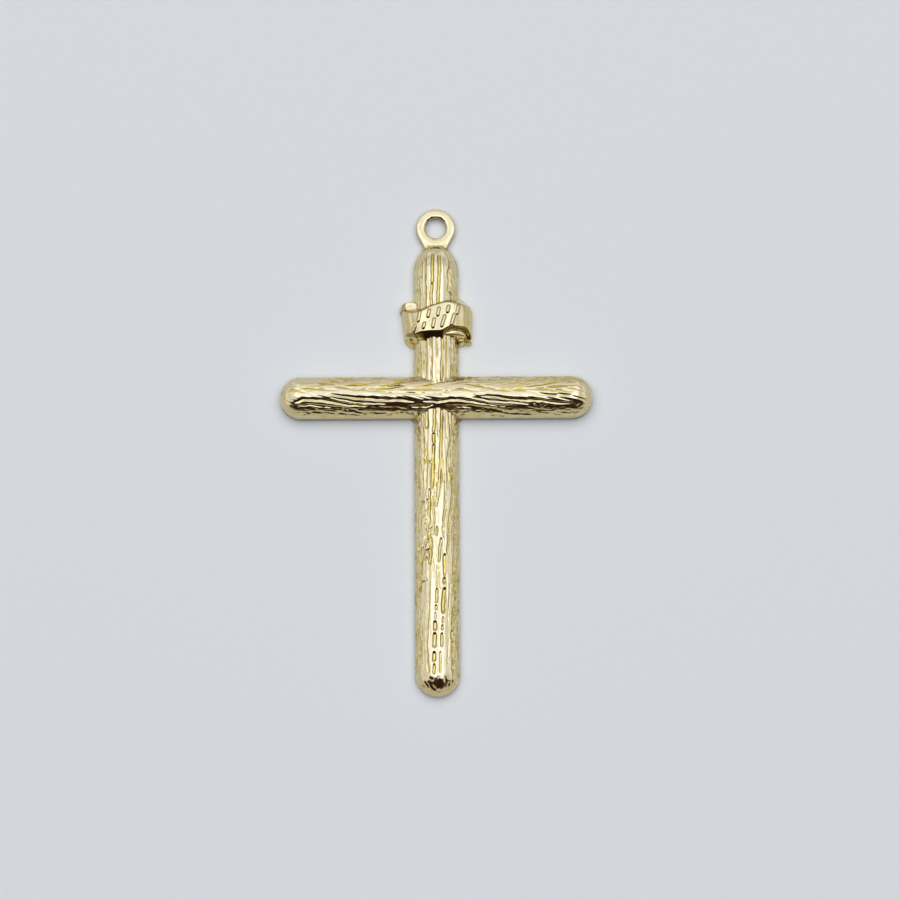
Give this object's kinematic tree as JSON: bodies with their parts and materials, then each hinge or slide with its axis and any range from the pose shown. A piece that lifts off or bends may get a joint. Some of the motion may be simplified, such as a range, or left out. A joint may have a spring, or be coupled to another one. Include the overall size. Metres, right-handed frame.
{
  "type": "cross pendant",
  "caption": "Gilt metal cross pendant struck as half-round logs with wood grain, a rolled scroll on the upright and a flat hanging ring; hollow back.",
  "frame": {"origin": "middle of the bounding box, on the plane of the back rim that the pendant lies on", "axes": "+X along the crossbar to the right, +Y along the upright from the foot to the ring, +Z out of the front"},
  "size_m": [0.0264, 0.042, 0.0025],
  "materials": {
    "gold_plate": "polished pale gold plating on die-struck brass, a little darker in the grooves"
  },
  "bodies": {
    "root": {"cross": "gold_plate"}
  },
  "joints": []
}
